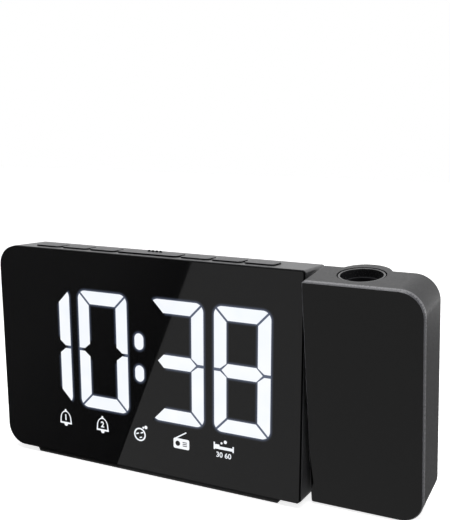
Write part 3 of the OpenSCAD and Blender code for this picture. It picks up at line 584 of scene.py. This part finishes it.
# Each mark is made of filled shapes, shapes drawn as a line, and dark shapes on a filled one, in
# millimetres from the mark's middle.
bell = {
    "filled": [oval(0, 3.4, 1.0, 1.3), oval(0, -2.6, 1.9, 1.9),
               mirrored([(3.15, -2.5), (2.95, -0.6), (2.8, 0.6), (2.35, 1.7), (1.6, 2.6),
                         (0.8, 3.2), (0, 3.4)])],
    "dark": [mirrored([(2.45, -1.75), (2.35, -0.1), (2.2, 0.9), (1.8, 1.8), (1.2, 2.4),
                       (0.6, 2.7), (0, 2.8)])],
}
sleeper = {
    "filled": [bar(-1.7, -0.5, 1.4, 0.5, 20), bar(0.5, 0.1, 1.4, 0.5, 20),
               bar(-0.1, -2.0, 1.2, 0.5, 20), oval(1.2, 2.4, 0.9, 0.9), oval(2.5, 2.7, 1.5, 1.5)],
    "drawn": [oval(-0.55, -0.8, 5.8, 5.8)],
}
radio = {
    "filled": [round_box(-3.7, 3.7, -3.5, 0.8, 0.7), bar(-0.2, 2.2, 6.0, 0.5, 31)],
    "dark": [oval(-1.7, -1.35, 2.2, 2.2)] + [bar(1.6, z, 2.0, 0.35) for z in (-0.6, -1.35, -2.1)],
}
bed = {
    "filled": [bar(-4.25, 0.8, 0.6, 3.0), bar(0, 0.2, 8.4, 1.2), bar(4.2, 0.35, 0.6, 2.5),
               round_box(-3.95, -1.9, 0.6, 1.5, 0.4), oval(-1.0, 2.2, 0.9, 0.9),
               oval(0.7, 2.9, 1.4, 1.4)],
}

filled, drawn, dark = [], [], []
for i, mark in enumerate((bell, bell, sleeper, radio, bed)):
    for kind, found in (("filled", filled), ("drawn", drawn), ("dark", dark)):
        for outline in mark.get(kind, []):
            found.append([(FIRST_MARK_X + i * MARK_PITCH + x * MM, base_z + MARK_Z + z * MM)
                          for x, z in outline])

lines = sheets(drawn, LIT_PROUD)
inner = list(lines.faces)
bmesh.ops.inset_region(lines, faces=inner, thickness=LINE, use_boundary=True, use_even_offset=True)
bmesh.ops.delete(lines, geom=inner, context="FACES")
piece("mark_lines", thicken(lines), "clock_body", lit_window)
piece("mark_shapes", thicken(sheets(filled, LIT_PROUD)), "clock_body", lit_window)
piece("mark_ink", thicken(sheets(dark, INK_PROUD)), "clock_body", panel_acrylic)

# Each number: its mark's place in the row, its height over the row, its size and how bold it is.
for name, number, mark, lift, size, bold in (
    ("alarm_number_1", "1", 0, 0.35, 3.5, 0.14), ("alarm_number_2", "2", 1, 0.35, 3.5, 0.1),
    ("timer_minutes", "30 60", 4, -2.65, 3.0, 0.04),
):
    text = bpy.data.curves.new(name, "FONT")
    text.body = number
    text.size = size * MM
    text.offset = bold * MM
    drawing = bpy.data.objects.new(name, text)
    bpy.context.scene.collection.objects.link(drawing)
    bpy.context.view_layer.update()
    flat = drawing.evaluated_get(bpy.context.evaluated_depsgraph_get()).to_mesh()
    mesh = bmesh.new()
    mesh.from_mesh(flat)
    bpy.data.objects.remove(drawing)
    bmesh.ops.remove_doubles(mesh, verts=mesh.verts, dist=0.01 * MM)
    spans = [[v.co[axis] for v in mesh.verts] for axis in (0, 1)]
    off = [(min(span) + max(span)) / 2 for span in spans]
    bmesh.ops.translate(mesh, verts=mesh.verts, vec=(-off[0], -off[1], 0))
    bmesh.ops.rotate(mesh, verts=mesh.verts, matrix=Matrix.Rotation(math.pi / 2, 3, "X"))
    bmesh.ops.translate(mesh, verts=mesh.verts, vec=(
        FIRST_MARK_X + mark * MARK_PITCH, face_y - NUMBER_PROUD, base_z + MARK_Z + lift * MM))
    piece(name, thicken(mesh), "clock_body", lit_window)

# ---------------------------------------------------------------- caps
# Seven caps of ABS in a row along the top, snapped into their slots; the long one is for snooze.
# Four rubber pips near its back edge tell the finger where it is.

CAP_EDGE = 0.15 * MM
RIM_X = 1.3 * MM         # a top edge is rounded where it lies this near to the cap's ends,
RIM_Y = 2.6 * MM         # or this near to the front or back of its flanges
PIP_D = 1.3 * MM
PIP_PROUD = 0.7 * MM     # how far a pip stands out of the snooze bar
PIP_PITCH = 1.85 * MM
PIP_Y = 11.3 * MM        # behind the panel's face


def on_rim(edge, low, high):
    """True for the outline of a cap's top face. It takes in the back of the pits, which the pips
    cover."""
    middle = (edge.verts[0].co + edge.verts[1].co) / 2
    return (all(abs(v.co.z - high.z) < SAME_PLANE for v in edge.verts)
            and (min(middle.x - low.x, high.x - middle.x) < RIM_X
                 or min(middle.y - low.y, high.y - middle.y) < RIM_Y))


# Moulded ABS, a lighter grey than the shell: the same dry grain.
cap_abs, shader = finish_of("moulded_abs_grey", "#4a4a4c", 0.5, IOR=1.53)
mottle(cap_abs, shader, "#474749", "#4d4d4f", 6 * MM)
grain(cap_abs, shader, 0.6 * MM, 0.02 * MM, 0.42, 0.58)

# A cap's sides: the same plastic with painted shade, near-black and dull, so the slot round it is
# a dark line.
cap_side_painted_shade, shader = finish_of("cap_abs_painted_shade", "#040405", 0.9, IOR=1.53,
                             Specular_IOR_Level=0.05)
grain(cap_side_painted_shade, shader, 0.4 * MM, 0.03 * MM, 0.85, 0.95)

for cap in ("button_power", "button_alarm_1", "button_alarm_2", "snooze_bar",
            "button_radio", "button_volume", "button_projector"):
    low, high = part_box(cap)
    mesh = joined_copy(cap)
    rounded(mesh, every_sharp(mesh, lambda e: on_rim(e, low, high)), CAP_EDGE, 3)
    made = piece(cap + "_cap", mesh, cap, cap_abs, [cap])
    made.data.materials.append(cap_side_painted_shade)
    # The upright sides of each cap take the painted shade.
    for polygon in made.data.polygons:
        polygon.material_index = 1 if abs(polygon.normal.z) < 0.1 else 0

# Moulded rubber pips: black and dull, pressed into the bar's pits.
pip_rubber, shader = finish_of("moulded_rubber_black", "#040405", 0.9, IOR=1.52,
                               Specular_IOR_Level=0.05)
grain(pip_rubber, shader, 0.4 * MM, 0.03 * MM, 0.85, 0.95)

low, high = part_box("snooze_bar")
pips = bmesh.new()
for i in range(4):
    x = (low.x + high.x) / 2 + (i - 1.5) * PIP_PITCH
    pip = bmesh.ops.create_uvsphere(pips, u_segments=20, v_segments=12, radius=PIP_D / 2)["verts"]
    bmesh.ops.translate(pips, verts=pip, vec=(
        x, face_y + PIP_Y, high.z + PIP_PROUD - PIP_D / 2))
piece("snooze_pips", pips, "snooze_bar", pip_rubber)

# ---------------------------------------------------------------- pivot
# The arm hangs on a hollow shaft that turns in an acetal bush. A steel washer and a spring clip
# inside the body hold it, and the lamp's lead runs through it.

# Acetal: black and slightly waxy, as it is turned from rod.
bush_acetal, shader = finish_of("turned_acetal_black", "#1d1d1f", 0.35, IOR=1.48)
mottle(bush_acetal, shader, "#1a1a1c", "#222224", 3 * MM)
grain(bush_acetal, shader, 0.6 * MM, 0.004 * MM, 0.3, 0.42)
dress(["pivot_bush"], bush_acetal)

# Turned alloy: bright grey, with the lathe's marks round the shaft.
turned_alloy, shader = finish_of("turned_alloy", "#b9bbc0", 0.35, Metallic=1.0)
mottle(turned_alloy, shader, "#b0b2b7", "#c2c4c9", 1.5 * MM)
ribs(turned_alloy, shader, 0.31 * MM, 0.01 * MM)
dress(["pivot_shaft"], turned_alloy)

# The lead's sheath: soft dark rubber, as the foot.
dress(["projector_lead"], foot_rubber)

# ---------------------------------------------------------------- arm
# The projector arm: a grained shell of the same ABS, painted darker as shade, and a polished black
# cover, screwed together from behind. The cover's rim carries a painted highlight and shows as a
# lighter line.

ARM_BACK_EDGE = 0.5 * MM

# The beam leaves along the focusing ring's axis, and the cover faces square to it.
beam = Vector([j for j in frame["joints"] if j["name"] == "focus_turn"][0]["axis"])
lean = math.atan2(-beam.y, beam.z)
arm_front = Vector((0, -math.cos(lean), -math.sin(lean)))

# Polished ABS: black and even, with the faint waves of a moulding's skin in its reflections.
arm_gloss, shader = finish_of("polished_abs_black", "#040404", 0.04, IOR=1.5,
                              Specular_IOR_Level=0.4)
grain(arm_gloss, shader, 14 * MM, 0.002 * MM, 0.035, 0.05)

cover = piece("arm_cover", joined_copy("arm_front_cover"), "projector_arm", arm_gloss,
              ["arm_front_cover"], smooth=20)

# The cover's rim: a painted highlight, a grey much lighter than the cover's black, so it draws a
# lighter line round the black face.
rim_painted_highlight, shader = finish_of("abs_rim_painted_highlight", "#5c5c60", 0.28, IOR=1.6)
grain(rim_painted_highlight, shader, 0.6 * MM, 0.002 * MM, 0.24, 0.32)
cover.data.materials.append(rim_painted_highlight)
# Every face but the flat front takes the painted highlight.
for polygon in cover.data.polygons:
    polygon.material_index = 0 if abs(polygon.normal.dot(arm_front)) > 0.99 else 1

# Grained ABS: the shell's plastic with painted shade, darker than the body's so that the arm reads
# darker, with the sparkle of the same mould finish.
arm_abs_painted_shade, shader = finish_of("moulded_abs_painted_darker", "#202022", 0.38, IOR=1.53,
                            Specular_IOR_Level=0.3)
mottle(arm_abs_painted_shade, shader, "#1e1e20", "#232325", 9 * MM)
grain(arm_abs_painted_shade, shader, 0.6 * MM, 0.03 * MM, 0.32, 0.44)


def on_arm_back(edge, face):
    """True for an outward edge of the arm's flat back."""
    return edge.is_convex and face.normal.dot(arm_front) < -0.99


arm_shell = joined_copy("arm_rear_shell")
rounded(arm_shell, outer_edges(arm_shell, on_arm_back), ARM_BACK_EDGE)
piece("arm_shell", arm_shell, "projector_arm", arm_abs_painted_shade, ["arm_rear_shell"])

# ---------------------------------------------------------------- projector
# A black tube in the arm holds the lamp, a condenser lens and the small glass panel whose image
# is thrown on the ceiling.

# Black ABS inside the optics: finely grained and matte, so that no light strays.
optics_black, shader = finish_of("matte_black_moulding", "#1a1a1d", 0.6, IOR=1.53,
                                 Specular_IOR_Level=0.15)
mottle(optics_black, shader, "#17171a", "#1e1e21", 2 * MM)
grain(optics_black, shader, 0.5 * MM, 0.01 * MM, 0.5, 0.7)
dress(["projector_barrel"], optics_black)

# Lamp: red epoxy, lit from inside, with lighter clouds.
red_lamp, shader = finish_of("red_epoxy_lamp", "#c01818", 0.15, IOR=1.54, Emission_Strength=2.0)
mottle(red_lamp, shader, "#ff1a12", "#ff5a48", 2 * MM, 0, "Emission Color", (0, 1))
dress(["red_led"], red_lamp)

# Image glass: dark, coated, with a painted red glow in place of the lamp's light from below it.
image_glass_painted_glow, shader = finish_of("coated_glass_painted_glow", "#30343a", 0.08, IOR=1.52,
                                Emission_Color=linear("#b01010"), Emission_Strength=0.4)
mottle(image_glass_painted_glow, shader, "#2a2e34", "#383d44", 3 * MM)
dress(["image_panel"], image_glass_painted_glow)

# Lens: clear moulded acrylic, polished and coated, so it mirrors little and shows what is below.
lens_clear, shader = finish_of("polished_lens_acrylic", "#74787e", 0.02, IOR=1.49,
                               Transmission_Weight=1.0, Specular_Tint=linear("#303038"))
grain(lens_clear, shader, 6 * MM, 0.0005 * MM, 0.015, 0.03)
piece("condenser", joined_copy("condenser_lens"), "projector_arm", lens_clear,
      ["condenser_lens"])

# ---------------------------------------------------------------- focusing
# The objective lens sits deep in a black tube. A ring in the arm's top is turned with a finger
# and screws the tube up and down.

LENS_SHARE = 0.35        # the lens's height over its seat, as a share of its CAD piece's
TUBE_EDGE = 0.15 * MM
RING_EDGE = 0.2 * MM

objective = joined_copy("objective_lens")
seat = min(v.co.dot(beam) for v in objective.verts)
for v in objective.verts:
    v.co -= beam * (v.co.dot(beam) - seat) * (1 - LENS_SHARE)
piece("objective", objective, "lens_carrier", lens_clear, ["objective_lens"])

carrier = joined_copy("lens_carrier")
rounded(carrier, every_sharp(carrier), TUBE_EDGE)
piece("lens_tube", carrier, "lens_carrier", optics_black, ["lens_carrier"])

# Satin ABS: dark, with a soft shine that lights up its narrow rim.
ring_abs, shader = finish_of("satin_abs_ring", "#2c2c2e", 0.25, IOR=1.53)
mottle(ring_abs, shader, "#29292b", "#303032", 4 * MM)
grain(ring_abs, shader, 0.5 * MM, 0.003 * MM, 0.2, 0.3)

ring = joined_copy("focus_ring")
rounded(ring, every_sharp(ring), RING_EDGE, 3)
piece("focusing_ring", ring, "focus_ring", ring_abs, ["focus_ring"])

# ---------------------------------------------------------------- table, light and camera
# A white table in a white room, with a large soft light overhead and a weak one at the side.
# Three cards on the table, two in front of the clock and one at its right, show only in a gloss:
# they keep the white table out of the black panel and the arm's end.

TABLE = 8                # metres across
TABLE_GLOW = 0.8         # lifts the table to white where it is looked at
ROOM_LIGHT = 0.4         # the white room's light on the clock
CARD_Z = 1 * MM
# The line where the two front cards meet, from its near point to a far one:
CARD_EDGE = [Vector((-15.1, -22.4, 0)) * MM, Vector((-321.3, -563.7, 0)) * MM]
CARD_BEHIND = 200 * MM   # how far the front cards reach behind that near point
CARD_AHEAD = 900 * MM    # and in front of it
CARD_W = 800 * MM
SIDE_CARD = [Vector((119, -30, 0.5)) * MM, Vector((119, 430, 0.5)) * MM]
SIDE_CARD_W = 500 * MM
CURTAIN_Y = -1.2         # metres, as the next two
CURTAIN_W = 4
CURTAIN_H = 1.8
CURTAIN_GLOW = 0.08


def direct_look(material):
    """1 for what the camera sees, straight or in a gloss or glass, and 0 for other light."""
    rays = add(material, "LightPath").outputs
    look = add(material, "Math", {0: rays["Is Camera Ray"], 1: rays["Is Glossy Ray"]},
               operation="MAXIMUM")
    return add(material, "Math", {0: look.outputs[0], 1: rays["Is Transmission Ray"]},
               operation="MAXIMUM").outputs[0]


table, shader = finish_of("white_table", "#e6e6e6", 0.9)
bpy.ops.mesh.primitive_plane_add(size=TABLE)
floor = bpy.context.object
floor.name = "table_top"
floor.data.materials.append(table)
lift = add(table, "Math", {0: direct_look(table), 1: TABLE_GLOW}, operation="MULTIPLY")
shader.inputs["Emission Color"].default_value = (1, 1, 1, 1)
table.node_tree.links.new(lift.outputs[0], shader.inputs["Emission Strength"])

near, far = CARD_EDGE
along = (far - near).normalized()
beside = Vector((-along.y, along.x, 0))
front_line = [near - along * CARD_BEHIND, near + along * CARD_AHEAD]


def even_glow(name):
    """A material that only glows white, and the shader that says how brightly."""
    material = bpy.data.materials.new(name)
    material.use_nodes = True
    material.node_tree.nodes.clear()
    glow = add(material, "Emission", {"Color": (1, 1, 1, 1)})
    add(material, "OutputMaterial", {"Surface": glow.outputs[0]})
    return material, glow


# Each card: its first edge, the way it lies from there, and its brightness at some distances.
for name, edge, sideways, tones in (
    ("black_card", front_line, -beside, ((0, 0.03), (90 * MM, 0.1), (CARD_W, 0.14))),
    ("grey_card", front_line, beside, ((0, 0.48), (CARD_W, 0.48))),
    ("side_card", SIDE_CARD, Vector((1, 0, 0)), ((0, 0.29), (SIDE_CARD_W, 0.29))),
):
    paper, glow = even_glow(name)
    tone = add(paper, "Attribute", attribute_name="tone").outputs["Fac"]
    paper.node_tree.links.new(tone, glow.inputs["Strength"])
    card = bmesh.new()
    printed = card.verts.layers.float.new("tone")
    previous = None
    for distance, level in tones:
        pair = [card.verts.new(corner + sideways * distance + Vector((0, 0, CARD_Z)))
                for corner in edge]
        for v in pair:
            v[printed] = level
        if previous:
            card.faces.new(previous + pair[::-1])
        previous = pair
    data = bpy.data.meshes.new(name)
    card.to_mesh(data)
    card.free()
    data.materials.append(paper)
    made = bpy.data.objects.new(name, data)
    bpy.context.scene.collection.objects.link(made)
    made.visible_camera = made.visible_diffuse = made.visible_shadow = False
    made.visible_transmission = made.visible_volume_scatter = False

# A dark curtain behind the camera keeps the walls that face it dark.
curtain_black, glow = even_glow("dark_curtain")
glow.inputs["Strength"].default_value = CURTAIN_GLOW
bpy.ops.mesh.primitive_plane_add(size=1, rotation=(math.pi / 2, 0, 0),
                                 location=(0, CURTAIN_Y, CURTAIN_H / 2))
curtain = bpy.context.object
curtain.name = "dark_curtain"
curtain.scale = (CURTAIN_W, CURTAIN_H, 1)
bpy.ops.object.transform_apply(location=False, rotation=False, scale=True)
curtain.data.materials.append(curtain_black)
curtain.visible_camera = curtain.visible_shadow = False

world = bpy.data.worlds.new("white_room")
world.use_nodes = True
bpy.context.scene.world = world
background = world.node_tree.nodes["Background"]
background.inputs["Color"].default_value = (1, 1, 1, 1)
level = add(world, "MapRange", {"Value": direct_look(world), "To Min": ROOM_LIGHT, "To Max": 1.0})
world.node_tree.links.new(level.outputs["Result"], background.inputs["Strength"])

# Each light: where it is from the clock's middle, how far away, its size and its power.
clock_middle = (cad_box[0] + cad_box[1]) / 2
for name, towards, away, size, watts in (
    ("overhead_soft_box", Vector((0.1, -0.15, 1)), 0.75, 0.6, 5.0),
    ("side_soft_box", Vector((1, 0.2, 0.35)), 0.9, 0.5, 0.3),
):
    lamp = bpy.data.lights.new(name, "AREA")
    lamp.shape = "SQUARE"
    lamp.size = size
    lamp.energy = watts
    light = bpy.data.objects.new(name, lamp)
    bpy.context.scene.collection.objects.link(light)
    light.location = clock_middle + towards.normalized() * away
    light.rotation_euler = towards.to_track_quat("Z", "Y").to_euler()

# The camera stands in front of the arm, a little above the clock, and is shifted towards the body.
CAMERA_AT = Vector((179.56, -261.86, 131.71)) * MM
CAMERA_AHEAD = Vector((-0.38973, 0.90024, -0.19409))
CAMERA_ROLL = math.radians(1.297)

view = bpy.data.cameras.new("camera")
view.lens = 52.24
view.sensor_fit = "VERTICAL"
view.sensor_height = 36
view.shift_x = -0.16319
view.shift_y = 0.08788
camera = bpy.data.objects.new("camera", view)
bpy.context.scene.collection.objects.link(camera)
camera.location = CAMERA_AT
ahead = CAMERA_AHEAD.to_track_quat("-Z", "Y")
camera.rotation_euler = (ahead @ Quaternion((0, 0, 1), CAMERA_ROLL)).to_euler()
bpy.context.scene.camera = camera
bpy.context.scene.view_settings.view_transform = "Standard"
